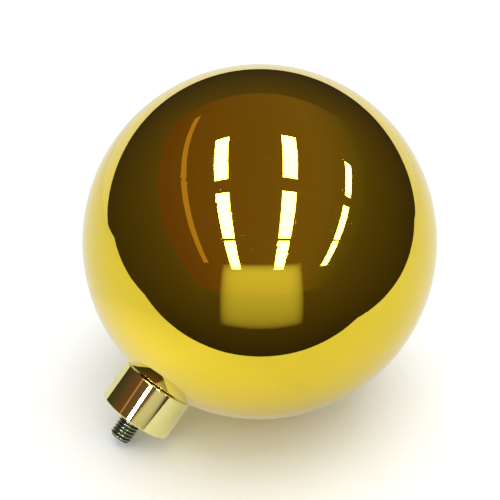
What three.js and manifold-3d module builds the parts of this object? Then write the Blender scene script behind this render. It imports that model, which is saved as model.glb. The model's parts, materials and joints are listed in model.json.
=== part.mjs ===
// A gold mirror ball on a screwed spigot: a hollow ball of two spun brass shells, a threaded steel
// stud held in its neck by a nut, and a turned collar that two grub screws lock on the stud.
//
// Millimetres, +Z up. The ball lies on a flat surface, as it does on a table: it touches the
// surface at its lowest point and at the collar's end edge. The stud points towards -Y and down.
// The origin is on the surface, under the middle of the object.
//
// Each piece is drawn in the ball's own axes first: the ball's centre at 0, its axis along Z and
// the stud pointing down, as it stands on a pole. A tilted group then lays the object down.
//
// The tapped holes are plain, and the stud's thread is a row of V grooves, not a helix.

import * as THREE from 'three';
import { mergeVertices } from 'three/addons/utils/BufferGeometryUtils.js';
import Module from 'manifold-3d';

const wasm = await Module();
wasm.setup();

// ---------------------------------------------------------------- driving dimensions

const BALL_RADIUS = 75;
const SHELL_WALL = 1.2;
const NECK_HOLE_RADIUS = 9; // the hole in the lower shell that the boss fills
const SEAM_RING_HEIGHT = 12;
const SEAM_RING_WALL = 1.5;

const COLLAR_RADIUS = 16.4;
const COLLAR_LENGTH = 18; // from the rim beside the ball to the end face
const COLLAR_EDGE = 0.4; // chamfer round both ends

const STUD_RADIUS = 5; // M10 x 1.5
const THREAD_PITCH = 1.5;
const THREAD_DEPTH = 0.92;
const STUD_PROJECTION = 11.5; // past the collar's end face
const STUD_TIP_CHAMFER = 0.9;
const STUD_PAST_NUT = 3;

const BOSS_FLANGE_RADIUS = 16;
const BOSS_FLANGE_EDGE = 2.5;
const BOSS_END_DROP = 0.2; // how far the boss's end face stays inside the ball's lowest point

const SPREADER_RADIUS = 13;
const SPREADER_THICKNESS = 1.6;
const LOCK_WASHER_RADIUS = 9;
const LOCK_WASHER_THICKNESS = 2.2;
const LOCK_WASHER_SLIT = 1.6;
const NUT_ACROSS_FLATS = 16;
const NUT_HEIGHT = 8;

const SEAT_WASHER_RADIUS = 9.5;
const SEAT_WASHER_THICKNESS = 1;

const GRUB_HOLE_RADIUS = 1.6; // M3 grub screws
const GRUB_LENGTH = 6;
const GRUB_SOCKET_ACROSS_FLATS = 1.5;
const GRUB_SOCKET_DEPTH = 2;
const GRUB_POINT = 0.5; // chamfer of the screw's point
const PAD_LENGTH = 1.2;
const GRUB_HOLE_TURN = 48; // degrees round the axis, from the ball's +X side towards +Y

const GAP = 0.3; // between pieces that touch
const SMALL_GAP = 0.2; // round the grub screws
const SEAT_GAP = 0.4; // between the ball and the collar's hollow seat

const BALL_STEPS = 48; // flats round the ball, and half as many from pole to pole
const TURNED_STEPS = 40; // flats round the turned pieces
const SCREW_STEPS = 24; // flats round the stud and the grub screws

// ---------------------------------------------------------------- heights along the ball's axis

const innerRadius = BALL_RADIUS - SHELL_WALL;
const fitRadius = innerRadius - GAP; // what lies against the inside of the ball
const seatRadius = BALL_RADIUS + SEAT_GAP; // the collar's hollow seat

/** Height of a point on the ball's lower half, or on a sphere inside or outside it. */
const below = (sphere, outFromAxis) => -Math.sqrt(sphere ** 2 - outFromAxis ** 2);

const bossEnd = -BALL_RADIUS + BOSS_END_DROP;
const bossTop = below(fitRadius, BOSS_FLANGE_RADIUS) + BOSS_FLANGE_EDGE;
const spreaderBase = bossTop + GAP;
const lockWasherBase = spreaderBase + SPREADER_THICKNESS + GAP;
const nutBase = lockWasherBase + LOCK_WASHER_THICKNESS + GAP;
const studTop = nutBase + NUT_HEIGHT + STUD_PAST_NUT;

const seatWasherTop = bossEnd - GAP;
const seatWasherBase = seatWasherTop - SEAT_WASHER_THICKNESS;
const counterboreFloor = seatWasherBase - GAP;
const counterboreRadius = Math.max(SEAT_WASHER_RADIUS, NECK_HOLE_RADIUS) + GAP;

const collarRim = below(seatRadius, COLLAR_RADIUS - COLLAR_EDGE);
const collarEnd = collarRim - COLLAR_LENGTH;
const studTip = collarEnd - STUD_PROJECTION;

const passRadius = STUD_RADIUS + GAP; // every hole that the stud passes through
const grubHeight = (collarRim + collarEnd) / 2;
const grubRadius = GRUB_HOLE_RADIUS - SMALL_GAP;
const padStart = STUD_RADIUS + GAP;
const grubStart = padStart + PAD_LENGTH + SMALL_GAP;

// ---------------------------------------------------------------- shapes

/** A solid of revolution about Z, from [radius, height] points that start and end on the axis. */
function turned(points, steps) {
  const profile = points.map(([radius, height]) => new THREE.Vector2(radius, height));
  return new THREE.LatheGeometry(profile, steps).rotateX(Math.PI / 2);
}

/** A ring of revolution about Z, from [radius, height] points that run anticlockwise round it. */
function turnedRing(points, steps) {
  return turned([...points, points[0]], steps);
}

/** A flat ring with square edges. */
function flatRing(inner, outer, base, top) {
  return turnedRing([[inner, base], [outer, base], [outer, top], [inner, top]], TURNED_STEPS);
}

/** Points on an arc about the ball's centre, between two angles counted up from its south pole. */
function meridian(radius, from, to, steps) {
  const points = [];
  for (let i = 0; i <= steps; i += 1) {
    const angle = from + ((to - from) * i) / steps;
    points.push([radius * Math.sin(angle), -radius * Math.cos(angle)]);
  }
  return points;
}

/** The angle up from the ball's south pole to a point on a sphere, by its distance from the axis. */
const upTo = (radius, outFromAxis) => Math.asin(outFromAxis / radius);

/** The solid that the booleans work on, from a three.js geometry. */
function toSolid(geometry) {
  const bare = geometry.clone();
  bare.deleteAttribute('normal');
  bare.deleteAttribute('uv');
  const merged = mergeVertices(bare, 1e-4);
  return new wasm.Manifold(new wasm.Mesh({
    numProp: 3,
    vertProperties: Float32Array.from(merged.attributes.position.array),
    triVerts: Uint32Array.from(merged.index.array),
  }));
}

/** A three.js geometry again, from such a solid. */
function toGeometry(solid) {
  const mesh = solid.getMesh();
  const geometry = new THREE.BufferGeometry();
  geometry.setAttribute('position', new THREE.BufferAttribute(mesh.vertProperties, 3));
  geometry.setIndex(new THREE.BufferAttribute(mesh.triVerts, 1));
  geometry.computeVertexNormals();
  return geometry;
}

/** A hexagonal prism about Z. */
function hexPrism(acrossFlats, base, top) {
  const corner = acrossFlats / Math.sqrt(3);
  const corners = [];
  for (let i = 0; i < 6; i += 1) {
    const angle = (i * Math.PI) / 3;
    corners.push(new THREE.Vector2(corner * Math.cos(angle), corner * Math.sin(angle)));
  }
  const depth = top - base;
  return new THREE.ExtrudeGeometry(new THREE.Shape(corners), { depth, bevelEnabled: false })
    .translate(0, 0, base);
}

// ---------------------------------------------------------------- the ball

const seamHalf = GAP / 2;
const equatorSteps = BALL_STEPS / 4;

/** The lower half of the ball, with its neck hole. */
function lowerShell() {
  const outerTop = Math.PI / 2 - seamHalf / BALL_RADIUS;
  const innerTop = Math.PI / 2 - seamHalf / innerRadius;
  const outer = meridian(
    BALL_RADIUS, upTo(BALL_RADIUS, NECK_HOLE_RADIUS), outerTop, equatorSteps);
  const inner = meridian(
    innerRadius, innerTop, upTo(innerRadius, NECK_HOLE_RADIUS), equatorSteps);
  return turnedRing([...outer, ...inner], BALL_STEPS);
}

/** The upper half of the ball, closed at the top. */
function upperShell() {
  const innerBase = Math.PI / 2 + seamHalf / innerRadius;
  const outerBase = Math.PI / 2 + seamHalf / BALL_RADIUS;
  const inner = meridian(innerRadius, Math.PI, innerBase, equatorSteps);
  const outer = meridian(BALL_RADIUS, outerBase, Math.PI, equatorSteps);
  return turned([...inner, ...outer], BALL_STEPS);
}

/** The ring inside the equator that both halves are soldered over. */
function seamRing() {
  const reach = Math.asin(SEAM_RING_HEIGHT / 2 / fitRadius);
  const middle = Math.PI / 2;
  const outer = meridian(fitRadius, middle - reach, middle + reach, 2);
  const inner = outer.map(([radius, height]) => [radius - SEAM_RING_WALL, height]).reverse();
  return turnedRing([...outer, ...inner], BALL_STEPS);
}

/** The turned bush in the neck hole, with a flange that lies against the inside of the shell. */
function neckBoss() {
  const shank = NECK_HOLE_RADIUS - GAP;
  const underside = meridian(
    fitRadius, upTo(fitRadius, shank), upTo(fitRadius, BOSS_FLANGE_RADIUS), 2);
  return turnedRing([
    [passRadius, bossEnd],
    [shank, bossEnd],
    ...underside,
    [BOSS_FLANGE_RADIUS, bossTop],
    [passRadius, bossTop],
  ], TURNED_STEPS);
}

// ---------------------------------------------------------------- the clamp inside the neck

const spreaderWasher = () => flatRing(
  passRadius, SPREADER_RADIUS, spreaderBase, spreaderBase + SPREADER_THICKNESS);

/** The spring washer: a thick ring with a slit. */
function lockWasher() {
  const slit = LOCK_WASHER_SLIT / 2;
  const outline = new THREE.Shape();
  outline.absarc(0, 0, LOCK_WASHER_RADIUS, slit / LOCK_WASHER_RADIUS,
    2 * Math.PI - slit / LOCK_WASHER_RADIUS, false);
  outline.absarc(0, 0, passRadius, 2 * Math.PI - slit / passRadius, slit / passRadius, true);
  return new THREE.ExtrudeGeometry(outline, {
    depth: LOCK_WASHER_THICKNESS, bevelEnabled: false, curveSegments: TURNED_STEPS,
  }).translate(0, 0, lockWasherBase);
}

/** The nut on the stud's inner end: a hexagon with its corners turned off, bored through. */
function innerNut() {
  const top = nutBase + NUT_HEIGHT;
  const cornerRadius = NUT_ACROSS_FLATS / Math.sqrt(3) + GAP;
  const faceRadius = NUT_ACROSS_FLATS / 2 - GAP;
  const cornerDrop = (cornerRadius - faceRadius) / 2;
  const turnedCorners = turned([
    [0, nutBase],
    [faceRadius, nutBase],
    [cornerRadius, nutBase + cornerDrop],
    [cornerRadius, top - cornerDrop],
    [faceRadius, top],
    [0, top],
  ], TURNED_STEPS);
  const bore = turned([
    [0, nutBase - GAP], [passRadius, nutBase - GAP], [passRadius, top + GAP], [0, top + GAP],
  ], SCREW_STEPS);
  const hexagon = toSolid(hexPrism(NUT_ACROSS_FLATS, nutBase - GAP, top + GAP));
  return toGeometry(hexagon.intersect(toSolid(turnedCorners)).subtract(toSolid(bore)));
}

/** The threaded stud, with V grooves on the length that stands out of the collar. */
function stud() {
  const root = STUD_RADIUS - THREAD_DEPTH;
  const tipChamfer = Math.min(STUD_TIP_CHAMFER, THREAD_DEPTH);
  const points = [[0, studTip], [STUD_RADIUS - tipChamfer, studTip], [STUD_RADIUS, studTip + tipChamfer]];
  const grooves = Math.floor(STUD_PROJECTION / THREAD_PITCH);
  const crest = THREAD_PITCH / 8;
  const threadStart = studTip + tipChamfer + crest;
  for (let i = 0; i < grooves; i += 1) {
    const base = threadStart + i * THREAD_PITCH;
    points.push(
      [STUD_RADIUS, base],
      [root, base + (THREAD_PITCH - crest) / 2],
      [STUD_RADIUS, base + THREAD_PITCH - crest],
    );
  }
  points.push([STUD_RADIUS, studTop - tipChamfer], [STUD_RADIUS - tipChamfer, studTop], [0, studTop]);
  return turned(points, SCREW_STEPS);
}

// ---------------------------------------------------------------- the collar

const seatWasher = () => flatRing(
  passRadius, SEAT_WASHER_RADIUS, seatWasherBase, seatWasherTop);

/** A drill through one side of the collar, from its axis outwards along X. */
function radialDrill() {
  const reach = COLLAR_RADIUS + GAP;
  return turned([
    [0, 0], [GRUB_HOLE_RADIUS, 0], [GRUB_HOLE_RADIUS, reach], [0, reach],
  ], SCREW_STEPS).rotateY(Math.PI / 2).translate(0, 0, grubHeight);
}

/** The collar: chamfered ends, a hollow seat under the ball, a counterbore and two side holes. */
function collar() {
  const seat = meridian(
    seatRadius, upTo(seatRadius, COLLAR_RADIUS - COLLAR_EDGE), upTo(seatRadius, counterboreRadius), 3);
  const blank = turnedRing([
    [passRadius, collarEnd],
    [COLLAR_RADIUS - COLLAR_EDGE, collarEnd],
    [COLLAR_RADIUS, collarEnd + COLLAR_EDGE],
    [COLLAR_RADIUS, collarRim - COLLAR_EDGE],
    ...seat,
    [counterboreRadius, counterboreFloor],
    [passRadius, counterboreFloor],
  ], BALL_STEPS);
  const drill = toSolid(radialDrill());
  return toGeometry(toSolid(blank).subtract(drill).subtract(drill.rotate([0, 0, 180])));
}

/** A grub screw along X: a plain shank, a chamfered point towards the stud and a hexagon socket. */
function grubScrew() {
  const end = grubStart + GRUB_LENGTH;
  const shank = turned([
    [0, grubStart],
    [grubRadius - GRUB_POINT, grubStart],
    [grubRadius, grubStart + GRUB_POINT],
    [grubRadius, end],
    [0, end],
  ], SCREW_STEPS);
  const socket = hexPrism(GRUB_SOCKET_ACROSS_FLATS, end - GRUB_SOCKET_DEPTH, end + GAP);
  return toGeometry(toSolid(shank).subtract(toSolid(socket)))
    .rotateY(Math.PI / 2)
    .translate(0, 0, grubHeight);
}

/** The brass pad between a grub screw and the stud. */
function screwPad() {
  const end = padStart + PAD_LENGTH;
  return turned([[0, padStart], [grubRadius, padStart], [grubRadius, end], [0, end]], SCREW_STEPS)
    .rotateY(Math.PI / 2)
    .translate(0, 0, grubHeight);
}

// ---------------------------------------------------------------- materials

const metal = (color, roughness) => new THREE.MeshStandardMaterial({
  color, roughness, metalness: 1,
});
const mirrorGold = metal(0xe8bf3a, 0.04);
const polishedBrass = metal(0xe6cf93, 0.08);
const plainBrass = metal(0xb8924a, 0.4);
const darkSteel = metal(0x6b6f66, 0.35);
const blackSteel = metal(0x2a2a2a, 0.45);
const fibre = new THREE.MeshStandardMaterial({ color: 0x7a2a1c, roughness: 0.8, metalness: 0 });

// ---------------------------------------------------------------- the assembly

/** One named piece in a group. */
function piece(group, name, geometry, material) {
  const mesh = new THREE.Mesh(geometry, material);
  mesh.name = name;
  group.add(mesh);
}

/** The object in the ball's own axes, with the stud pointing down. */
function standingBall() {
  const ball = new THREE.Group();
  piece(ball, 'upper_shell', upperShell(), mirrorGold);
  piece(ball, 'lower_shell', lowerShell(), mirrorGold);
  piece(ball, 'seam_ring', seamRing(), plainBrass);
  piece(ball, 'neck_boss', neckBoss(), plainBrass);
  piece(ball, 'spreader_washer', spreaderWasher(), darkSteel);
  piece(ball, 'lock_washer', lockWasher(), darkSteel);
  piece(ball, 'inner_nut', innerNut(), darkSteel);
  piece(ball, 'stud', stud(), darkSteel);
  piece(ball, 'seat_washer', seatWasher(), fibre);

  const sleeve = new THREE.Group(); // the collar and all that turns with it
  sleeve.rotation.z = THREE.MathUtils.degToRad(GRUB_HOLE_TURN);
  piece(sleeve, 'collar', collar(), polishedBrass);
  for (const [side, turn] of [['right', 0], ['left', Math.PI]]) {
    const hole = new THREE.Group();
    hole.rotation.z = turn;
    piece(hole, `screw_pad_${side}`, screwPad(), plainBrass);
    piece(hole, `grub_screw_${side}`, grubScrew(), blackSteel);
    sleeve.add(hole);
  }
  ball.add(sleeve);
  return ball;
}

/** How far the axis dips when the ball and the first of these rims to reach it touch the floor. */
function restingDip() {
  const rims = [
    [-collarEnd, COLLAR_RADIUS - COLLAR_EDGE],
    [-collarEnd - COLLAR_EDGE, COLLAR_RADIUS],
    [-studTip, STUD_RADIUS - STUD_TIP_CHAMFER],
    [-studTip - STUD_TIP_CHAMFER, STUD_RADIUS],
  ];
  const dips = rims.map(([along, out]) => (
    Math.asin(BALL_RADIUS / Math.hypot(along, out)) - Math.atan2(out, along)
  ));
  return Math.min(...dips);
}

/** The object laid down, with its origin on the floor under its middle. */
function lyingBall() {
  const dip = restingDip();
  const frontEnd = Math.max(
    -studTip * Math.cos(dip) + (STUD_RADIUS - STUD_TIP_CHAMFER) * Math.sin(dip),
    BALL_RADIUS,
  );
  const ball = standingBall();
  ball.rotation.x = dip - Math.PI / 2;
  ball.position.set(0, (frontEnd - BALL_RADIUS) / 2, BALL_RADIUS);
  const whole = new THREE.Group();
  whole.add(ball);
  return whole;
}

export default lyingBall();
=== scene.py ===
"""A gold mirror ball on a turned brass collar with a threaded steel stud, lying on a pale floor.

Everything is in metres. The pieces are drawn in the ball's own axes, which are its centre, the
axis up through the ball away from the stud, and the floor's X, and are then laid down to match
the frame. Surfaces are numpy grids: a profile turned about the axis, a thread, or a patch round a
drilled hole.
"""

import json
import math

import bmesh
import bpy
import numpy as np
from mathutils import Matrix, Vector


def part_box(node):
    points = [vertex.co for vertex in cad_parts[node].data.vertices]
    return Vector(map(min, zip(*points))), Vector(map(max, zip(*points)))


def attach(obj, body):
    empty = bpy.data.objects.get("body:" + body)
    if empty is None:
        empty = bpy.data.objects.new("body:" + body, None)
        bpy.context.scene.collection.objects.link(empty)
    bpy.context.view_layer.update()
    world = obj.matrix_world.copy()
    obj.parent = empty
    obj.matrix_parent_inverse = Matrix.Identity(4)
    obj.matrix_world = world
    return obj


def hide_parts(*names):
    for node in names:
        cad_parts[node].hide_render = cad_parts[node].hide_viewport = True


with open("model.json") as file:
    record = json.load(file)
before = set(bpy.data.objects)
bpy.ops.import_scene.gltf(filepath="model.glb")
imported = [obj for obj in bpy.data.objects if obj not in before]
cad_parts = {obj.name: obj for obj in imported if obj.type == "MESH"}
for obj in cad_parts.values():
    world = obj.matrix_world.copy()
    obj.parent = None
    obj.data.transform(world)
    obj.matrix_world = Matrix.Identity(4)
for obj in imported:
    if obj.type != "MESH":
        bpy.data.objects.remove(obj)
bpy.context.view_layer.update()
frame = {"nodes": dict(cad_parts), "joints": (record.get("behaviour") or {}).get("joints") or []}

# ------------------------------------------------------------------ sizes, in metres

MM = 0.001

SHELL_WALL = 1.2 * MM
NECK_HOLE_RADIUS = 9 * MM

COLLAR_RADIUS = 16.4 * MM
COLLAR_LENGTH = 18 * MM
COLLAR_EDGE = 0.4 * MM
COUNTERBORE_RADIUS = 9.8 * MM
COUNTERBORE_FLOOR = -76.4 * MM
PASS_RADIUS = 5.3 * MM
SEAT_GAP = 0.4 * MM

STUD_RADIUS = 5 * MM
STUD_PITCH = 1.5 * MM
STUD_THREAD_DEPTH = 0.92 * MM
STUD_TIP_CHAMFER = 0.9 * MM
STUD_PROJECTION = 11.5 * MM
STUD_TOP = -53.54 * MM

GRUB_HOLE_RADIUS = 1.6 * MM
GRUB_HOLE_LIP = 0.18 * MM
GRUB_RADIUS = 1.4 * MM
GRUB_START = 6.7 * MM
GRUB_LENGTH = 6 * MM
GRUB_PITCH = 0.5 * MM
GRUB_THREAD_DEPTH = 0.26 * MM
GRUB_POINT = 0.5 * MM
GRUB_CROWN = 0.3 * MM
GRUB_SOCKET_APOTHEM = 0.75 * MM
GRUB_SOCKET_DEPTH = 2 * MM

PAD_START = 5.3 * MM
PAD_LENGTH = 1.2 * MM
PAD_RADIUS = 1.4 * MM

SEAT_WASHER_RADIUS = 9.5 * MM
BOSS_FLANGE_RADIUS = 16 * MM
BOSS_SHANK_RADIUS = 8.7 * MM
SEAM_RING_HALF = 6 * MM
SEAM_RING_WALL = 1.5 * MM
SPREADER_RADIUS = 13 * MM
LOCK_WASHER_RADIUS = 9 * MM
LOCK_WASHER_SLIT = 1.6 * MM
NUT_APOTHEM = 8 * MM
FIT_GAP = 0.3 * MM

# ------------------------------------------------------------------ where things are

JOINTS = {joint["name"]: joint for joint in frame["joints"]}
AXIS_UP = -Vector(JOINTS["collar_slide"]["axis"]).normalized()
COLLAR_END_CENTRE = Vector(JOINTS["collar_turn"]["pos_m"])


def both_shells():
    """The lowest and highest corners of the two halves of the ball together."""
    corners = [Vector(c) for node in ("upper_shell", "lower_shell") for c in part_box(node)]
    low = Vector(min(c[i] for c in corners) for i in range(3))
    high = Vector(max(c[i] for c in corners) for i in range(3))
    return low, high


SHELL_LOW, SHELL_HIGH = both_shells()
BALL_RADIUS = (SHELL_HIGH.x - SHELL_LOW.x) / 2
BALL_CENTRE = Vector((0, SHELL_HIGH.y - BALL_RADIUS, BALL_RADIUS))

# columns: the ball's own x, y and z in the frame's axes
BALL_AXES = np.column_stack([(1, 0, 0), AXIS_UP.cross(Vector((1, 0, 0))), AXIS_UP])

COLLAR_END = (COLLAR_END_CENTRE - BALL_CENTRE).dot(AXIS_UP)
COLLAR_RIM = COLLAR_END + COLLAR_LENGTH
STUD_TIP = COLLAR_END - STUD_PROJECTION
GRUB_HEIGHT = (COLLAR_END + COLLAR_RIM) / 2


def hole_turn():
    """The angle about the axis from the ball's own x to the right-hand grub screw's hole."""
    outward = Vector(JOINTS["pad_travel_right"]["axis"])
    across = Vector(BALL_AXES[:, 1])
    return math.atan2(outward.dot(across), outward.x)


HOLE_TURN = hole_turn()


def along_axis(node):
    """How far down and up the ball's axis a CAD node reaches, from the node's own vertices."""
    vertices = frame["nodes"][node].data.vertices
    points = np.empty(len(vertices) * 3)
    vertices.foreach_get("co", points)
    heights = (points.reshape(-1, 3) - np.array(BALL_CENTRE)) @ np.array(AXIS_UP)
    return float(heights.min()), float(heights.max())


def in_frame(points):
    """Points in the ball's own axes, carried to the frame: turned by its axes, then moved."""
    return np.asarray(points, float) @ BALL_AXES.T + np.array(BALL_CENTRE)


# ------------------------------------------------------------------ mesh building

SHARP_ANGLE = math.radians(32)


def merge_doubles(mesh):
    """Joins points that two parts of a surface share, and drops points that no face uses."""
    shape = bmesh.new()
    shape.from_mesh(mesh)
    bmesh.ops.remove_doubles(shape, verts=shape.verts, dist=1e-7)
    bmesh.ops.delete(shape, geom=[v for v in shape.verts if not v.link_faces], context="VERTS")
    shape.to_mesh(mesh)
    shape.free()


def mesh_piece(name, points, faces, body, slot, material, replaces=(), values=None, merge=False):
    """A piece from points in the ball's own axes and lists of faces, riding on a CAD body."""
    mesh = bpy.data.meshes.new(name)
    mesh.from_pydata(in_frame(points).tolist(), [], [f for group in faces for f in group.tolist()])
    if merge:
        merge_doubles(mesh)
    mesh.polygons.foreach_set("use_smooth", np.ones(len(mesh.polygons), bool))
    if values is not None:
        layer = mesh.attributes.new("groove", "FLOAT", "POINT")
        layer.data.foreach_set("value", np.asarray(values, np.float32))
    mesh.update()
    mesh.set_sharp_from_angle(angle=SHARP_ANGLE)
    mesh.materials.append(material)
    piece = bpy.data.objects.new(name, mesh)
    bpy.context.scene.collection.objects.link(piece)
    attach(piece, body)
    if replaces:
        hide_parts(*replaces)
    return piece


def grid_faces(rows, columns, first=0, around=True, down=False):
    """Four-sided faces between neighbouring rows of a grid of points.

    Point (row, column) is number first + row * columns + column; the last column joins the first
    when the grid runs around, and the last row joins the first when it runs down and back.
    """
    row = np.arange(rows if down else rows - 1)[:, None]
    column = np.arange(columns if around else columns - 1)[None, :]
    next_row = (row + 1) % rows
    next_column = (column + 1) % columns
    corners = [
        row * columns + column,
        row * columns + next_column,
        next_row * columns + next_column,
        next_row * columns + column,
    ]
    corners = [np.broadcast_to(c, (row.size, column.size)).ravel() for c in corners]
    return np.stack(corners, axis=1) + first


def polar_points(radius, angle, height):
    """Points (r cos a, r sin a, h) from radii, angles and heights that fill one grid."""
    radius, angle, height = np.broadcast_arrays(radius, angle, height)
    return np.stack([radius * np.cos(angle), radius * np.sin(angle), height], -1).reshape(-1, 3)


def directions(steps, turn=0.0):
    """So many even directions round the axis, from the given turn on."""
    return turn + np.arange(steps) * 2 * math.pi / steps


def turned_points(profile, steps, turn=0.0):
    """A profile of [radius, height] rows turned about the axis."""
    profile = np.asarray(profile, float)
    return polar_points(profile[:, :1], directions(steps, turn), profile[:, 1:])


def turned_ring(profile, steps):
    """A closed ring: the profile runs anticlockwise round its section and joins itself."""
    return turned_points(profile, steps), [grid_faces(len(profile), steps, down=True)]


def capped(radius, height, ends=None):
    """A solid from rows of radii round the axis, each row at its height, closed by two fans.

    `radius` has one row a height and one column a direction. Each fan meets on the axis, at the
    height of the row next to it unless `ends` gives the two heights.
    """
    rows, around = radius.shape
    height = np.asarray(height, float)
    low, high = ends or (height[0], height[-1])
    points = polar_points(radius, directions(around), height[:, None])
    points = np.vstack([points, [[0, 0, low], [0, 0, high]]])
    column = np.arange(around)
    after = (column + 1) % around
    last = (rows - 1) * around
    fans = [
        np.stack([np.full(around, rows * around), after, column], 1),
        np.stack([last + column, last + after, np.full(around, rows * around + 1)], 1),
    ]
    return points, [grid_faces(rows, around), *fans]


def turned_solid(profile, steps):
    """A solid whose profile of [radius, height] rows starts and ends on the axis."""
    profile = np.asarray(profile, float)
    radius = np.broadcast_to(profile[1:-1, :1], (len(profile) - 2, steps))
    return capped(radius, profile[1:-1, 1], (profile[0, 1], profile[-1, 1]))


def arc(radius, start, end, steps):
    """Points on a circle about the ball's centre, by angle up from the south pole."""
    angle = np.linspace(start, end, steps + 1)
    return np.column_stack([radius * np.sin(angle), -radius * np.cos(angle)])


def eased(profile, radius, steps=4, closed=True):
    """The profile with each corner rounded.

    A corner is left at the same distance on both sides and replaced by a quadratic curve, whose
    point at t is the mean of the two legs weighted by (1-t)^2, 2t(1-t) and t^2. One more point on
    each leg, just outside the curve, keeps the shading of the flats beside it flat. A point on a
    straight run is kept as it is.
    """
    profile = np.asarray(profile, float)
    count = len(profile)
    rows = []
    for i in range(count):
        corner = profile[i]
        if not closed and i in (0, count - 1):
            rows.append(corner[None])
            continue
        before = profile[i - 1] - corner
        after = profile[(i + 1) % count] - corner
        turn = abs(before[0] * after[1] - before[1] * after[0])
        if turn < 0.05 * np.linalg.norm(before) * np.linalg.norm(after):
            rows.append(corner[None])
            continue
        reach = min(radius, 0.4 * np.linalg.norm(before), 0.4 * np.linalg.norm(after))
        start = corner + before / np.linalg.norm(before) * reach
        end = corner + after / np.linalg.norm(after) * reach
        hold = 0.15 * reach
        t = np.linspace(0, 1, steps + 1)[:, None]
        curve = (1 - t) ** 2 * start + 2 * t * (1 - t) * corner + t ** 2 * end
        rows.append(start + before / np.linalg.norm(before) * hold)
        rows.append(curve)
        rows.append(end + after / np.linalg.norm(after) * hold)
    return np.vstack([np.atleast_2d(row) for row in rows])


# ------------------------------------------------------------------ material building


class Nodes:
    """A material's node tree, with short calls for the nodes that the finishes use."""

    def __init__(self, name):
        self.material = bpy.data.materials.new(name)
        self.material.use_nodes = True
        self.tree = self.material.node_tree
        self.shader = self.tree.nodes["Principled BSDF"]
        self.place = self.add("ShaderNodeTexCoord").outputs["Object"]

    def add(self, kind, inputs=None, **settings):
        """A node with its settings and inputs, where an input is a value or another's output."""
        node = self.tree.nodes.new(kind)
        for key, value in settings.items():
            setattr(node, key, value)
        for key, value in (inputs or {}).items():
            self.give(node.inputs[key], value)
        return node

    def give(self, socket, value):
        """Sets a socket's value, or links it."""
        if isinstance(value, bpy.types.NodeSocket):
            self.tree.links.new(value, socket)
        else:
            socket.default_value = value

    def noise(self, scale, detail=2.0, roughness=0.5, place=None, distortion=0.0):
        """A noise pattern's value, 0 to 1, at so many lumps a metre."""
        inputs = {
            "Vector": place or self.place,
            "Scale": scale,
            "Detail": detail,
            "Roughness": roughness,
            "Distortion": distortion,
        }
        return self.add("ShaderNodeTexNoise", inputs).outputs["Fac"]

    def stretched(self, along):
        """Object coordinates about the ball's centre, turned to its axis and scaled by `along`."""
        from_centre = {0: self.place, 1: BALL_CENTRE}
        moved = self.add("ShaderNodeVectorMath", from_centre, operation="SUBTRACT")
        turn = Matrix(BALL_AXES.tolist()).transposed().to_euler()
        inputs = {"Vector": moved.outputs[0], "Rotation": turn, "Scale": along}
        return self.add("ShaderNodeMapping", inputs, vector_type="POINT").outputs[0]

    def spread(self, value, low, high, to_low=0.0, to_high=1.0):
        """A value carried from one range to another, and held at its ends."""
        inputs = {
            "Value": value, "From Min": low, "From Max": high, "To Min": to_low, "To Max": to_high,
        }
        return self.add("ShaderNodeMapRange", inputs).outputs[0]

    def blend(self, factor, first, second):
        """A colour between two, by a factor."""
        node = self.add("ShaderNodeMix", data_type="RGBA")
        colours = [socket for socket in node.inputs if socket.type == "RGBA"]
        self.give(node.inputs["Factor"], factor)
        self.give(colours[0], first)
        self.give(colours[1], second)
        return next(socket for socket in node.outputs if socket.type == "RGBA")

    def maths(self, operation, *values):
        """One Math node on up to three values."""
        inputs = dict(enumerate(values))
        return self.add("ShaderNodeMath", inputs, operation=operation).outputs[0]

    def bump(self, height, distance, strength=1.0, normal=None):
        """A bump of so many metres, on top of another if one is given."""
        inputs = {"Height": height, "Distance": distance, "Strength": strength}
        if normal is not None:
            inputs["Normal"] = normal
        return self.add("ShaderNodeBump", inputs).outputs[0]

    def finish(self, **sockets):
        """Sets the shader's own sockets by name, with underscores for spaces."""
        for key, value in sockets.items():
            self.give(self.shader.inputs[key.replace("_", " ")], value)
        return self.material


def colour(red, green, blue):
    """A linear colour with full alpha."""
    return (red, green, blue, 1.0)


def mirror_gold():
    """Gold lacquer over polished metal: a clean mirror with the least orange peel and fine dust."""
    n = Nodes("mirror_gold")
    cloud = n.spread(n.noise(28, 3), 0.3, 0.7)
    tint = n.blend(cloud, colour(0.80, 0.60, 0.026), colour(0.84, 0.63, 0.034))
    rubbed = n.noise(260, 4, 0.6)
    haze = n.spread(rubbed, 0.45, 0.8, 0.012, 0.03)
    specks = n.spread(n.noise(1900, 1), 0.74, 0.8, 0.0, 0.18)
    roughness = n.maths("ADD", haze, specks)
    peel = n.bump(n.noise(120, 1), 0.00001)
    spun = n.bump(n.noise(9, 1), 0.00012, normal=peel)
    return n.finish(
        Base_Color=tint,
        Metallic=1.0,
        Roughness=roughness,
        Normal=spun,
        Coat_Weight=0.18,
        Coat_Roughness=0.03,
        Coat_IOR=1.5,
    )


def polished_brass():
    """Pale gold plate on a turned collar: bright, with fine turning marks round it."""
    n = Nodes("polished_brass")
    marks = n.noise(900, 2, 0.6, place=n.stretched((0.02, 0.02, 1.0)))
    cloud = n.spread(n.noise(90, 2), 0.35, 0.65)
    tint = n.blend(cloud, colour(0.78, 0.715, 0.27), colour(0.84, 0.78, 0.33))
    roughness = n.spread(marks, 0.3, 0.75, 0.02, 0.05)
    turning = n.bump(marks, 0.000004)
    return n.finish(
        Base_Color=tint,
        Metallic=1.0,
        Roughness=roughness,
        Normal=turning,
    )


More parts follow.
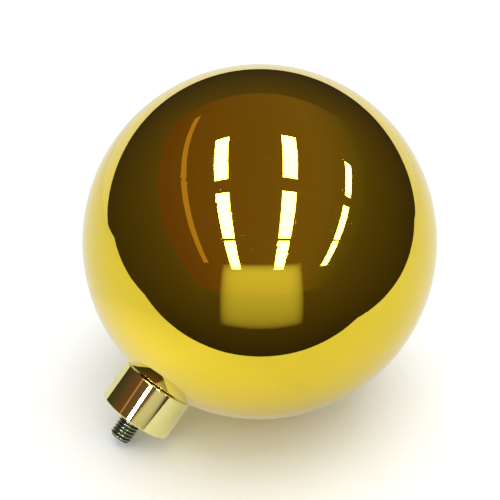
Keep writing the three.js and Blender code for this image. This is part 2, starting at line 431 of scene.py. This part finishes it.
def stud_steel():
    """Dull zinc-plated steel, with painted shade darkening the thread's grooves; crests stay pale."""
    n = Nodes("stud_steel")
    groove = n.add("ShaderNodeAttribute", attribute_name="groove").outputs["Fac"]
    mottle = n.noise(900, 3)
    # Painted shade: the groove's depth darkens the tint from pale crests to dark grey-green grooves; a
    # random mottle adds tone, and both set the roughness.
    groove_shade_and_mottle = n.maths("ADD", groove, n.spread(mottle, 0.3, 0.7, -0.2, 0.2))
    tint = n.blend(n.spread(groove_shade_and_mottle, 0.1, 0.6), colour(0.44, 0.45, 0.34), colour(0.06, 0.07, 0.045))
    roughness = n.spread(groove_shade_and_mottle, 0.0, 0.8, 0.16, 0.5)
    return n.finish(
        Base_Color=tint,
        Metallic=1.0,
        Roughness=roughness,
        Normal=n.bump(mottle, 0.00001),
    )


def plain_brass():
    """Brass as it leaves the lathe, a little dulled."""
    n = Nodes("plain_brass")
    marks = n.noise(1400, 2, 0.6, place=n.stretched((0.02, 0.02, 1.0)))
    dull = n.spread(n.noise(140, 3), 0.35, 0.7)
    tint = n.blend(dull, colour(0.62, 0.42, 0.15), colour(0.42, 0.25, 0.09))
    return n.finish(
        Base_Color=tint,
        Metallic=1.0,
        Roughness=n.spread(marks, 0.3, 0.7, 0.22, 0.42),
        Normal=n.bump(marks, 0.00001),
    )


def plated_steel():
    """Zinc-plated washers and nut."""
    n = Nodes("plated_steel")
    spangle = n.noise(500, 3)
    tint = n.blend(n.spread(spangle, 0.35, 0.7), colour(0.55, 0.56, 0.55), colour(0.36, 0.37, 0.36))
    return n.finish(
        Base_Color=tint,
        Metallic=1.0,
        Roughness=n.spread(spangle, 0.3, 0.7, 0.25, 0.45),
        Normal=n.bump(spangle, 0.00001),
    )


def black_steel():
    """Black-oxide grub screws, worn a little on their edges."""
    n = Nodes("black_steel")
    wear = n.noise(2500, 3)
    tint = n.blend(n.spread(wear, 0.6, 0.75), colour(0.022, 0.021, 0.02), colour(0.11, 0.1, 0.09))
    return n.finish(
        Base_Color=tint,
        Metallic=1.0,
        Roughness=n.spread(wear, 0.3, 0.7, 0.3, 0.5),
        Normal=n.bump(wear, 0.00001),
    )


def red_fibre():
    """Vulcanised fibre: a dull red-brown sheet with pressed fibres in it."""
    n = Nodes("red_fibre")
    strands = n.noise(1500, 4, 0.7, distortion=0.6)
    tint = n.blend(strands, colour(0.16, 0.032, 0.018), colour(0.3, 0.07, 0.04))
    return n.finish(Base_Color=tint, Roughness=0.75, Normal=n.bump(strands, 0.00004))


# ------------------------------------------------------------------ the pieces

AROUND_BALL = 192
AROUND_TURNED = 128


def ball_shells(gold):
    """The two halves: outer and inner spheres about one centre, meeting at the equator."""
    equator = math.pi / 2
    inner = BALL_RADIUS - SHELL_WALL
    half = AROUND_BALL // 4
    neck_outer = math.asin(NECK_HOLE_RADIUS / BALL_RADIUS)
    neck_inner = math.asin(NECK_HOLE_RADIUS / inner)
    lower = np.vstack([
        arc(BALL_RADIUS, neck_outer, equator, half * 2),
        arc(inner, equator, neck_inner, half),
    ])
    upper = np.vstack([
        arc(inner, math.pi, equator, half),
        arc(BALL_RADIUS, equator, math.pi, half * 2),
    ])
    mesh_piece("gold_lower_half", *turned_ring(lower, AROUND_BALL), "ball_and_stud", "mirror_gold",
               gold, ["lower_shell"])
    mesh_piece("gold_upper_half", *turned_solid(upper, AROUND_BALL), "ball_and_stud", "mirror_gold",
               gold, ["upper_shell"])


WINDOW_COLUMNS = 8  # half the width and height of the window round a side hole, in grid steps
WINDOW_ROWS = 4
BORE_WINDOW_HALF = 2.3 * MM
WALL_WINDOW_HALF = 5.0 * MM


def window_heights(half):
    """The heights of the rows across a side hole's window, from the lowest up."""
    return GRUB_HEIGHT + np.linspace(-half, half, 2 * WINDOW_ROWS + 1)


def collar_section():
    """The collar's section, anticlockwise from its upper outer corner."""
    seat = BALL_RADIUS + SEAT_GAP
    rim = COLLAR_RADIUS - COLLAR_EDGE
    dish = arc(seat, math.asin(rim / seat), math.asin(COUNTERBORE_RADIUS / seat), 6)
    bore = [[PASS_RADIUS, height] for height in window_heights(BORE_WINDOW_HALF)[::-1]]
    wall = [[COLLAR_RADIUS, height] for height in window_heights(WALL_WINDOW_HALF)]
    return np.vstack([
        dish,
        [[COUNTERBORE_RADIUS, COUNTERBORE_FLOOR], [PASS_RADIUS, COUNTERBORE_FLOOR]],
        bore,
        [[PASS_RADIUS, COLLAR_END], [rim, COLLAR_END], [COLLAR_RADIUS, COLLAR_END + COLLAR_EDGE]],
        wall,
        [[COLLAR_RADIUS, COLLAR_RIM - COLLAR_EDGE]],
    ])


def window_edge():
    """The window's outline in columns and rows from its middle, anticlockwise from its right."""
    w, h = WINDOW_COLUMNS, WINDOW_ROWS
    right_up = [(w, row) for row in range(0, h)]
    top = [(column, h) for column in range(w, -w, -1)]
    left = [(-w, row) for row in range(h, -h, -1)]
    bottom = [(column, -h) for column in range(-w, w)]
    right_low = [(w, row) for row in range(-h, 0)]
    return np.array(right_up + top + left + bottom + right_low, float)


def hole_patch(wall_radius, window_half, hole_radius, turn, rings=7):
    """Rings from a side hole's edge out to its window's outline, all on a wall of one radius.

    Each point of the outline has a partner on the hole's edge in the same direction, as the window
    is stretched to a square. The points between go from the partner (s = 0) to the outline (s = 1)
    in steps of angle about the axis and of height, with s to the power 1.5 to crowd the hole.
    """
    outline = window_edge()
    way = np.arctan2(outline[:, 1] / WINDOW_ROWS, outline[:, 0] / WINDOW_COLUMNS)
    inner = np.column_stack([
        np.arcsin(hole_radius * np.cos(way) / wall_radius), hole_radius * np.sin(way)])
    outer = np.column_stack([
        outline[:, 0] * 2 * math.pi / AROUND_TURNED, outline[:, 1] * window_half / WINDOW_ROWS])
    s = (np.linspace(0, 1, rings) ** 1.5)[:, None, None]
    place = (1 - s) * inner + s * outer
    return polar_points(wall_radius, turn + place[..., 0], GRUB_HEIGHT + place[..., 1]), way


def hole_wall(way, turn):
    """The side hole's wall: circles about the drill's line, from a small lip down to the bore."""
    depth = np.linspace(COLLAR_RADIUS - GRUB_HOLE_LIP, PASS_RADIUS, 25)[1:-1]
    depth = np.concatenate([[COLLAR_RADIUS - GRUB_HOLE_LIP], depth])[:, None]
    across = GRUB_HOLE_RADIUS * np.cos(way)
    out = np.array([math.cos(turn), math.sin(turn), 0])
    side = np.array([-math.sin(turn), math.cos(turn), 0])
    up = np.array([0, 0, 1.0])
    points = (
        depth[..., None] * out + across[:, None] * side
        + (GRUB_HEIGHT + GRUB_HOLE_RADIUS * np.sin(way))[:, None] * up
    )
    return points.reshape(-1, 3), len(depth)


def window_start(section, radius, half):
    """The number of the section's first row in the window, on the wall of that radius."""
    on_wall = np.isclose(section[:, 0], radius, atol=1e-7)
    ends = window_heights(half)[[0, -1]]
    at_end = np.isclose(section[:, 1:], ends, atol=1e-7).any(axis=1)
    return int(np.flatnonzero(on_wall & at_end)[0])


def collar(brass):
    """The turned collar: one closed ring with a hollow seat, a counterbore and two side holes."""
    section = eased(collar_section(), 0.12 * MM)
    rows = len(section)
    points = [turned_points(section, AROUND_TURNED, HOLE_TURN)]
    faces = grid_faces(rows, AROUND_TURNED, down=True)
    walls = ((COLLAR_RADIUS, WALL_WINDOW_HALF), (PASS_RADIUS, BORE_WINDOW_HALF))
    for radius, half in walls:
        start = window_start(section, radius, half)
        for middle in (0, AROUND_TURNED // 2):
            row, column = faces[:, 0] // AROUND_TURNED, faces[:, 0] % AROUND_TURNED
            off = (column - middle + WINDOW_COLUMNS) % AROUND_TURNED
            inside = (off < 2 * WINDOW_COLUMNS) & (row >= start) & (row < start + 2 * WINDOW_ROWS)
            faces = faces[~inside]
    parts = [faces]
    first = rows * AROUND_TURNED
    for turn in (HOLE_TURN, HOLE_TURN + math.pi):
        mouth_radius = GRUB_HOLE_RADIUS + GRUB_HOLE_LIP
        outer, way = hole_patch(COLLAR_RADIUS, WALL_WINDOW_HALF, mouth_radius, turn)
        inner, way = hole_patch(PASS_RADIUS, BORE_WINDOW_HALF, GRUB_HOLE_RADIUS, turn)
        tube, tube_rows = hole_wall(way, turn)
        count = len(way)
        patch_rows = len(outer) // count
        outer_first = first
        tube_first = outer_first + len(outer)
        inner_first = tube_first + len(tube)
        first = inner_first + len(inner)
        points += [outer, tube, inner]
        parts.append(grid_faces(patch_rows, count, outer_first)[:, ::-1])
        parts.append(joined_rings(outer_first, tube_first, count))
        parts.append(grid_faces(tube_rows, count, tube_first))
        parts.append(joined_rings(tube_first + (tube_rows - 1) * count, inner_first, count))
        parts.append(grid_faces(patch_rows, count, inner_first))
    mesh_piece("turned_collar", np.vstack(points), parts, "collar", "polished_brass", brass,
               ["collar"], merge=True)


def joined_rings(first, second, count):
    """Faces between two rings of so many points, wound as a grid's first row to its second."""
    column = np.arange(count)
    after = (column + 1) % count
    return np.stack([first + column, first + after, second + after, second + column], 1)


def thread_wave(height, angle, pitch):
    """How deep a right-hand thread is, 0 on its crest to 1 at its root.

    The phase is the height over the pitch, less one a turn. The depth is a triangle wave of the
    phase, cut off so that the crest is an eighth of a pitch wide and the root a quarter.
    """
    phase = (height / pitch - angle / (2 * math.pi)) % 1.0
    wave = 1 - np.abs(2 * phase - 1)
    return np.clip((wave - 0.125) / 0.625, 0, 1)


def stud(steel):
    """The stud: a helical thread all along, with a chamfer at each end."""
    around = 80
    height = np.arange(STUD_TIP, STUD_TOP, STUD_PITCH / 16)
    angle = directions(around)
    groove = thread_wave(height[:, None], angle[None, :], STUD_PITCH)
    from_end = np.minimum(height - STUD_TIP, height[-1] - height)[:, None]
    chamfer = STUD_RADIUS - STUD_TIP_CHAMFER + from_end
    radius = np.minimum(STUD_RADIUS - STUD_THREAD_DEPTH * groove, chamfer)
    points, faces = capped(radius, height)
    values = np.append(groove.ravel(), [0, 0])
    mesh_piece("threaded_stud", points, faces, "ball_and_stud", "stud_steel", steel, ["stud"],
               values)


def hexagon(apothem, angle):
    """The radius of a hexagon in each direction: the apothem over the cosine off its flat."""
    off = (angle + math.pi / 6) % (math.pi / 3) - math.pi / 6
    return apothem / np.cos(off)


def out_along(points, turn):
    """Points drawn about the axis, carried to the radial line at that angle, at the screws' height."""
    out = np.array([math.cos(turn), math.sin(turn), 0])
    side = np.array([-math.sin(turn), math.cos(turn), 0])
    up = np.array([0, 0, 1.0])
    return points @ np.stack([side, up, out]) + GRUB_HEIGHT * up


def grub_screw(side, turn, black):
    """A grub screw: a cone point, a fine thread, a crowned end and a hexagon socket.

    The socket's mouth is eased, and its floor is a shallow cone.
    """
    around = 48
    angle = directions(around)
    end = GRUB_START + GRUB_LENGTH
    height = np.arange(GRUB_START, end, GRUB_PITCH / 10)
    groove = thread_wave(height[:, None], angle[None, :], GRUB_PITCH)
    point = GRUB_RADIUS - GRUB_POINT + (height - GRUB_START)
    face = GRUB_RADIUS - GRUB_CROWN
    crown = face + (end - height)
    radius = np.minimum(GRUB_RADIUS - GRUB_THREAD_DEPTH * groove, np.minimum(point, crown)[:, None])
    socket = hexagon(GRUB_SOCKET_APOTHEM, angle)
    floor = end - GRUB_SOCKET_DEPTH
    cap = [
        (np.full(around, face - 0.03 * MM), end),
        (socket + 0.09 * MM, end),
        (socket, end - 0.08 * MM),
        (socket, end - 0.2 * MM),
        (socket, floor + 0.25 * MM),
        (socket * 0.9, floor + 0.2 * MM),
    ]
    radius = np.vstack([radius, *(row for row, _ in cap)])
    height = np.append(height, [row_height for _, row_height in cap])
    points, faces = capped(radius, height, (GRUB_START, floor))
    mesh_piece(f"socket_screw_{side}", out_along(points, turn), faces, f"grub_screw_{side}",
               "black_steel", black, [f"grub_screw_{side}"])


def screw_pad(side, turn, brass):
    """A small brass slug with eased edges between a grub screw and the stud."""
    low, high = PAD_START, PAD_START + PAD_LENGTH
    corners = [[0, low], [PAD_RADIUS, low], [PAD_RADIUS, high], [0, high]]
    points, faces = turned_solid(eased(corners, 0.12 * MM, closed=False), 48)
    mesh_piece(f"brass_slug_{side}", out_along(points, turn), faces, f"screw_pad_{side}",
               "plain_brass", brass, [f"screw_pad_{side}"])


def flat_washer(name, node, inner, outer, edge, slot, material, body):
    """A flat ring with eased edges, as high as its CAD node."""
    low, high = along_axis(node)
    profile = eased([[inner, low], [outer, low], [outer, high], [inner, high]], edge)
    mesh_piece(name, *turned_ring(profile, AROUND_TURNED), body, slot, material, [node])


def neck_bush(brass):
    """The bush in the ball's neck: a shank, and a flange whose underside follows the shell."""
    low, high = along_axis("neck_boss")
    fit = BALL_RADIUS - SHELL_WALL - FIT_GAP
    underside = arc(fit, math.asin(BOSS_SHANK_RADIUS / fit), math.asin(BOSS_FLANGE_RADIUS / fit), 6)
    section = np.vstack([
        [[PASS_RADIUS, low], [BOSS_SHANK_RADIUS, low]],
        underside,
        [[BOSS_FLANGE_RADIUS, high], [PASS_RADIUS, high]],
    ])
    mesh_piece("neck_bush", *turned_ring(eased(section, 0.25 * MM), AROUND_TURNED), "ball_and_stud",
               "plain_brass", brass, ["neck_boss"])


def seam_band(brass):
    """The band inside the equator that both halves are soldered over."""
    fit = BALL_RADIUS - SHELL_WALL - FIT_GAP
    reach = math.asin(SEAM_RING_HALF / fit)
    outer = arc(fit, math.pi / 2 - reach, math.pi / 2 + reach, 8)
    inner = outer[::-1] - np.array([SEAM_RING_WALL, 0])
    section = eased(np.vstack([outer, inner]), 0.2 * MM)
    mesh_piece("seam_band", *turned_ring(section, AROUND_BALL), "ball_and_stud", "plain_brass",
               brass, ["seam_ring"])


def spring_washer(zinc):
    """A thick ring with a slit: its section is carried round the axis, short of a full turn."""
    low, high = along_axis("lock_washer")
    section = eased([[PASS_RADIUS, low], [LOCK_WASHER_RADIUS, low], [LOCK_WASHER_RADIUS, high],
                     [PASS_RADIUS, high]], 0.2 * MM)
    middle = (PASS_RADIUS + LOCK_WASHER_RADIUS) / 2
    half_slit = LOCK_WASHER_SLIT / 2 / middle
    around = 96
    angle = np.linspace(half_slit, 2 * math.pi - half_slit, around)
    points = polar_points(section[:, :1], angle, section[:, 1:])
    sides = grid_faces(len(section), around, around=False, down=True)
    rim = np.arange(len(section)) * around
    ends = [rim[None, :], (rim + around - 1)[None, ::-1]]
    mesh_piece("spring_washer", points, [sides, *ends], "ball_and_stud", "stud_steel", zinc,
               ["lock_washer"])


def hexagon_nut(zinc):
    """The nut: a bored hexagon whose corners are turned off at 30 degrees, top and bottom.

    Outside, the radius in each direction is the lesser of the hexagon's and a cone's that grows by
    twice the height from the nearer face. Inside, a thread runs up the bore.
    """
    low, high = along_axis("inner_nut")
    around = 96
    angle = directions(around)
    face = NUT_APOTHEM - FIT_GAP
    drop = np.linspace(0, 0.75 * MM, 7)
    outside = np.concatenate([low + drop, high - drop[::-1]])
    cone = face + 2 * np.minimum(outside - low, high - outside)
    outer = np.minimum(hexagon(NUT_APOTHEM, angle)[None, :], cone[:, None])
    inside = np.linspace(high, low, 65)
    lead = np.maximum(0.5 * MM - np.minimum(inside - low, high - inside), 0)
    thread = 0.12 * MM * thread_wave(inside[:, None], angle[None, :], STUD_PITCH)
    inner = PASS_RADIUS + thread + lead[:, None]
    radius = np.vstack([outer, inner])
    points = polar_points(radius, angle, np.concatenate([outside, inside])[:, None])
    faces = [grid_faces(len(radius), around, down=True)]
    mesh_piece("hexagon_nut", points, faces, "ball_and_stud", "stud_steel", zinc, ["inner_nut"])


gold = mirror_gold()
brass = polished_brass()
steel = stud_steel()
dull_brass = plain_brass()
zinc = plated_steel()
black = black_steel()

ball_shells(gold)
seam_band(dull_brass)
neck_bush(dull_brass)
flat_washer("spreader", "spreader_washer", PASS_RADIUS, SPREADER_RADIUS, 0.25 * MM, "stud_steel",
            zinc, "ball_and_stud")
spring_washer(zinc)
hexagon_nut(zinc)
stud(steel)
flat_washer("fibre_washer", "seat_washer", PASS_RADIUS, SEAT_WASHER_RADIUS, 0.15 * MM, "fibre",
            red_fibre(), "seat_washer")
collar(brass)
for side, side_turn in (("right", HOLE_TURN), ("left", HOLE_TURN + math.pi)):
    grub_screw(side, side_turn, black)
    screw_pad(side, side_turn, dull_brass)

# ------------------------------------------------------------------ camera

VIEW_AZIMUTH = math.radians(53.7)
VIEW_ELEVATION = math.radians(30.3)
VIEW_DISTANCE = 4.61 * BALL_RADIUS
VIEW_LENS = 57.6
BALL_RIGHT_OF_VIEW = 0.0116  # how far off the view's middle the ball is, as a share of distance
BALL_ABOVE_VIEW = 0.0100

VIEW_FORWARD = Vector((
    -math.sin(VIEW_AZIMUTH) * math.cos(VIEW_ELEVATION),
    math.cos(VIEW_AZIMUTH) * math.cos(VIEW_ELEVATION),
    -math.sin(VIEW_ELEVATION),
))
VIEW_RIGHT = Vector((math.cos(VIEW_AZIMUTH), math.sin(VIEW_AZIMUTH), 0))
VIEW_UP = VIEW_RIGHT.cross(VIEW_FORWARD)
VIEW_AWAY = Vector((VIEW_FORWARD.x, VIEW_FORWARD.y, 0)).normalized()


def main_camera():
    """The camera, above the ball's front right, with the ball a little off the view's middle."""
    data = bpy.data.cameras.new("camera")
    data.lens = VIEW_LENS
    camera = bpy.data.objects.new("camera", data)
    sight = VIEW_FORWARD + VIEW_RIGHT * BALL_RIGHT_OF_VIEW + VIEW_UP * BALL_ABOVE_VIEW
    camera.location = BALL_CENTRE - sight.normalized() * VIEW_DISTANCE
    camera.rotation_mode = "QUATERNION"
    camera.rotation_quaternion = VIEW_FORWARD.to_track_quat("-Z", "Y")
    bpy.context.scene.collection.objects.link(camera)
    bpy.context.scene.camera = camera


main_camera()

# ------------------------------------------------------------------ floor, surround and light


def stage_piece(name, points, faces, material, only_mirrored=True):
    """A mesh that isn't part of the object; most of the stage shows only in the mirror finishes."""
    mesh = bpy.data.meshes.new(name)
    mesh.from_pydata(np.asarray(points, float).tolist(), [], [list(f) for f in faces])
    mesh.materials.append(material)
    piece = bpy.data.objects.new(name, mesh)
    bpy.context.scene.collection.objects.link(piece)
    piece.visible_glossy = only_mirrored
    piece.visible_camera = not only_mirrored
    piece.visible_diffuse = not only_mirrored
    piece.visible_shadow = not only_mirrored
    return piece


def paper(name, brightness, shine_near=0.0, shine_far=0.0, place=(0, 0, 0), reach=1.0):
    """Pale matt paper that sends back so much of the light, and glows a little of itself.

    The glow goes evenly from one amount at a place to another at so far from it; on the mirrored sheet
    it is painted light.
    """
    n = Nodes(name)
    darker, lighter = colour(*[brightness * 0.96] * 3), colour(*[brightness] * 3)
    tint = n.blend(n.noise(40, 3), darker, lighter)
    inputs = {0: n.place, 1: Vector(place)}
    away = n.add("ShaderNodeVectorMath", inputs, operation="DISTANCE").outputs["Value"]
    return n.finish(
        Base_Color=tint,
        Roughness=0.9,
        Specular_IOR_Level=0.0,
        Emission_Color=colour(1, 1, 1),
        Emission_Strength=n.spread(away, 0, reach, shine_near, shine_far),
    )


def glow(name, light, strength):
    """A surface that only gives light."""
    material = bpy.data.materials.new(name)
    material.use_nodes = True
    tree = material.node_tree
    tree.nodes.clear()
    emission = tree.nodes.new("ShaderNodeEmission")
    emission.inputs["Color"].default_value = light
    emission.inputs["Strength"].default_value = strength
    output = tree.nodes.new("ShaderNodeOutputMaterial")
    tree.links.new(emission.outputs[0], output.inputs["Surface"])
    return material


FLOOR_HALF = 30.0


def pale_floor():
    """The floor that the camera sees."""
    points = [(x * FLOOR_HALF, y * FLOOR_HALF, 0) for x, y in ((-1, -1), (1, -1), (1, 1), (-1, 1))]
    floor_paper = paper("floor_paper", 0.84, 0.0, 0.2, reach=2.5)
    stage_piece("floor", points, [(0, 1, 2, 3)], floor_paper, only_mirrored=False)


SHEET_HEIGHT = 0.1 * MM
SHEET_REACH = 1.5
SHEET_EDGES = (  # each straight edge's direction in degrees, and its distance
    (180.0, 1.98 * BALL_RADIUS),
    (150.0, 2.9 * BALL_RADIUS),
    (-162.5, 3.1 * BALL_RADIUS),
)
SHEET_PAINTED_LIGHT_LEFT = 1.2 * BALL_RADIUS  # the middle of the sheet's painted pool of light, left of the ball's middle
SHEET_PAINTED_LIGHT_NEAR = 0.9 * BALL_RADIUS  # and nearer the viewer than it
SHEET_PAINTED_LIGHT_REACH = 1.6 * BALL_RADIUS
SWEEP_MIDDLE = -3.0  # in degrees, as is its half width
SWEEP_HALF = 70.0
SWEEP_RISE = 0.40


def mirrored_sheet():
    """The pale sheet that the mirror finishes show: cut straight near the viewer, swept up behind.

    Its outline is polar about the ball. The radius is the least of the reach and, for each straight
    edge, that edge's distance over the cosine of the angle from its direction. Angles run from the
    direction away from the viewer, towards the right. Behind the ball the outer edge is swept up
    by (1 - s^4)^1.5 of the rise, where s runs from -1 to 1 across the sweep.
    """
    columns = 360
    degrees = np.arange(columns) - 180.0
    reach = np.full(columns, SHEET_REACH)
    for direction, distance in SHEET_EDGES:
        facing = np.cos(np.radians(degrees - direction))
        cut = np.where(facing > 0.02, distance / np.maximum(facing, 0.02), SHEET_REACH)
        reach = np.minimum(reach, cut)
    sweep = np.clip((degrees - SWEEP_MIDDLE) / SWEEP_HALF, -1, 1)
    rise = SWEEP_RISE * (1 - sweep ** 4) ** 1.5
    right = np.array(VIEW_RIGHT)
    away = np.array(VIEW_AWAY)
    angle = np.radians(degrees)[:, None]
    ways = np.sin(angle) * right + np.cos(angle) * away
    middle = np.array([BALL_CENTRE.x, BALL_CENTRE.y, SHEET_HEIGHT])
    flat = middle + ways * reach[:, None]
    high = flat + np.array([0, 0, 1]) * rise[:, None]
    points = np.vstack([flat, high, middle])
    column = np.arange(columns)
    after = (column + 1) % columns
    fan = np.stack([np.full(columns, 2 * columns), after, column], 1).tolist()
    wall = np.stack([column, after, after + columns, column + columns], 1).tolist()
    # Painted light: the sheet glows most at a spot left of the ball and nearer the viewer, and less
    # further off, which lightens the shade under the ball in the mirror.
    bright = middle - SHEET_PAINTED_LIGHT_LEFT * right - SHEET_PAINTED_LIGHT_NEAR * away
    sheet_paper_painted_light = paper("sheet_paper_painted_light", 0.45, 0.52, 0.26, bright, SHEET_PAINTED_LIGHT_REACH)
    stage_piece("mirrored_sheet", points, fan, sheet_paper_painted_light)
    stage_piece("mirrored_sweep", points, wall, paper("sweep_paper", 0.5, 0.3, 0.3))


RIG_TILT = math.radians(25)
RIG_UP = math.cos(RIG_TILT) * np.array([0, 0, 1.0]) - math.sin(RIG_TILT) * np.array(VIEW_AWAY)
RIG_AXES = np.stack([np.array(VIEW_RIGHT), np.cross(RIG_UP, np.array(VIEW_RIGHT)), RIG_UP])


def on_rig(points):
    """Points across, along and above the lamp rig, in ball radii from the ball's centre.

    The rig is level across the view and tilted towards the viewer.
    """
    return np.asarray(points, float) * BALL_RADIUS @ RIG_AXES + np.array(BALL_CENTRE)


def rig_rectangle(across, along, half_width, half_length, above):
    """The four corners of a rectangle on the rig, wound to face the ball."""
    return [
        (across - half_width, along - half_length, above),
        (across - half_width, along + half_length, above),
        (across + half_width, along + half_length, above),
        (across + half_width, along - half_length, above),
    ]


RIG_HEIGHT = 20.0  # the lamps' sizes and places are in ball radii
LAMP_COLUMNS = (-7.9, 5.9, 24.5)
LAMP_ROWS = (6.9, -7.4, -19.5)
LAMP_HALF_WIDTH = 1.5
LAMP_HALF_LENGTH = 5.6


def strip_lamps():
    """Rows of long soft lamps on the rig."""
    points = [
        corner
        for across in LAMP_COLUMNS
        for along in LAMP_ROWS
        for corner in rig_rectangle(across, along, LAMP_HALF_WIDTH, LAMP_HALF_LENGTH, RIG_HEIGHT)
    ]
    faces = np.arange(len(points)).reshape(-1, 4)
    stage_piece("strip_lamps", on_rig(points), faces, glow("lamp_glow", colour(1, 1, 0.96), 24.0))


WARM_STRIP_ACROSS = -18.8
WARM_STRIP_ALONG = 5.0
WARM_STRIP_HALF_WIDTH = 1.1
WARM_STRIP_HALF_LENGTH = 28.0


def warm_strip():
    """One long narrow warm lamp along the rig's left side."""
    points = rig_rectangle(WARM_STRIP_ACROSS, WARM_STRIP_ALONG, WARM_STRIP_HALF_WIDTH,
                           WARM_STRIP_HALF_LENGTH, RIG_HEIGHT)
    warm_glow = glow("warm_glow", colour(1, 0.55, 0.32), 0.5)
    stage_piece("warm_strip", on_rig(points), [(0, 1, 2, 3)], warm_glow)


def fading_glow(name, light):
    """A surface that gives light by its `light` attribute, and is clear where that is 0."""
    material = bpy.data.materials.new(name)
    material.use_nodes = True
    tree = material.node_tree
    tree.nodes.clear()
    amount = tree.nodes.new("ShaderNodeAttribute")
    amount.attribute_name = "light"
    clear = tree.nodes.new("ShaderNodeBsdfTransparent")
    emission = tree.nodes.new("ShaderNodeEmission")
    emission.inputs["Color"].default_value = light
    mix = tree.nodes.new("ShaderNodeMixShader")
    output = tree.nodes.new("ShaderNodeOutputMaterial")
    tree.links.new(amount.outputs["Fac"], mix.inputs[0])
    tree.links.new(clear.outputs[0], mix.inputs[1])
    tree.links.new(emission.outputs[0], mix.inputs[2])
    tree.links.new(mix.outputs[0], output.inputs["Surface"])
    return material


BOARD_DISTANCE = 12.0  # behind the viewer, in ball radii, as are the board's other sizes
BOARD_ACROSS = 0.2
BOARD_ABOVE = -0.6
BOARD_HALF_WIDTH = 5.2
BOARD_HALF_HEIGHT = 4.3


def bounce_board():
    """A white board behind the viewer, brightest at its top and fading out at its edges.

    A grid in s across and t up, each from -1 to 1. Its light is (1 - s^8)(1 - t^8) times a ramp
    that grows with t.
    """
    steps = 24
    t, s = np.meshgrid(np.linspace(-1, 1, steps + 1), np.linspace(-1, 1, steps + 1), indexing="ij")
    across = (BOARD_ACROSS + s * BOARD_HALF_WIDTH) * BALL_RADIUS
    above = (BOARD_ABOVE + t * BOARD_HALF_HEIGHT) * BALL_RADIUS
    right, away = np.array(VIEW_RIGHT), np.array(VIEW_AWAY)
    points = (
        np.array(BALL_CENTRE) - BOARD_DISTANCE * BALL_RADIUS * away
        + across[..., None] * right + above[..., None] * np.array([0, 0, 1.0])
    ).reshape(-1, 3)
    faces = grid_faces(steps + 1, steps + 1, around=False)
    light = (1 - s ** 8) * (1 - t ** 8) * (0.55 + 0.25 * t)
    board_glow = fading_glow("board_glow", colour(1, 0.97, 0.86))
    board = stage_piece("bounce_board", points, faces, board_glow)
    layer = board.data.attributes.new("light", "FLOAT", "POINT")
    layer.data.foreach_set("value", light.ravel().astype(np.float32))


ROOM_LOW = np.array([-34.0, -46.0, -30.0])
ROOM_HIGH = np.array([38.0, 48.0, RIG_HEIGHT + 0.4])


def dim_room():
    """The dim warm studio round the stage, for the mirror finishes: a box on the rig's axes.

    The ceiling goes from red-brown on the left to brown and then olive on the right, and the walls
    grow darker downwards.
    """
    n = Nodes("room")
    place = n.add("ShaderNodeAttribute", attribute_name="rig_place").outputs["Vector"]
    parts = n.add("ShaderNodeSeparateXYZ", {"Vector": place})
    across, height = parts.outputs["X"], parts.outputs["Z"]
    red_brown, brown = colour(0.15, 0.065, 0.035), colour(0.2, 0.125, 0.075)
    olive = colour(0.1, 0.085, 0.05)
    ceiling = n.blend(n.spread(across, -30, 12), red_brown, brown)
    ceiling = n.blend(n.spread(across, 12, 38), ceiling, olive)
    low, high = colour(0.03, 0.024, 0.016), colour(0.105, 0.075, 0.05)
    wall = n.blend(n.spread(height, -16, RIG_HEIGHT), low, high)
    is_ceiling = n.spread(height, RIG_HEIGHT - 0.5, RIG_HEIGHT)
    tint = n.blend(is_ceiling, wall, ceiling)
    n.finish(
        Base_Color=colour(0, 0, 0),
        Specular_IOR_Level=0.0,
        Emission_Color=tint,
        Emission_Strength=1.0,
    )
    x, y, z = np.meshgrid(*zip(ROOM_LOW, ROOM_HIGH), indexing="ij")
    corners = np.stack([x, y, z], -1).reshape(-1, 3)
    faces = [(0, 1, 3, 2), (4, 6, 7, 5), (0, 4, 5, 1), (2, 3, 7, 6), (0, 2, 6, 4), (1, 5, 7, 3)]
    room = stage_piece("dim_room", on_rig(corners), faces, n.material)
    layer = room.data.attributes.new("rig_place", "FLOAT_VECTOR", "POINT")
    layer.data.foreach_set("vector", corners.ravel().astype(np.float32))


def soft_light(name, direction, distance, size, power):
    """A large square light that the mirror finishes don't show."""
    data = bpy.data.lights.new(name, "AREA")
    data.shape = "SQUARE"
    data.size = size
    data.energy = power
    light = bpy.data.objects.new(name, data)
    light.location = BALL_CENTRE + direction.normalized() * distance
    light.rotation_mode = "QUATERNION"
    light.rotation_quaternion = (-direction).to_track_quat("-Z", "Y")
    light.visible_glossy = False
    bpy.context.scene.collection.objects.link(light)


def pale_world():
    """Even pale light from all round."""
    world = bpy.data.worlds.new("world")
    world.use_nodes = True
    background = world.node_tree.nodes["Background"]
    background.inputs["Color"].default_value = colour(0.98, 1.0, 1.0)
    background.inputs["Strength"].default_value = 1.04
    bpy.context.scene.world = world


pale_floor()
mirrored_sheet()
strip_lamps()
warm_strip()
bounce_board()
dim_room()
soft_light("overhead", Vector((0, 0, 1)) + VIEW_RIGHT * 0.15, 2.4, 2.2, 34)
pale_world()
bpy.context.scene.view_settings.view_transform = "Standard"
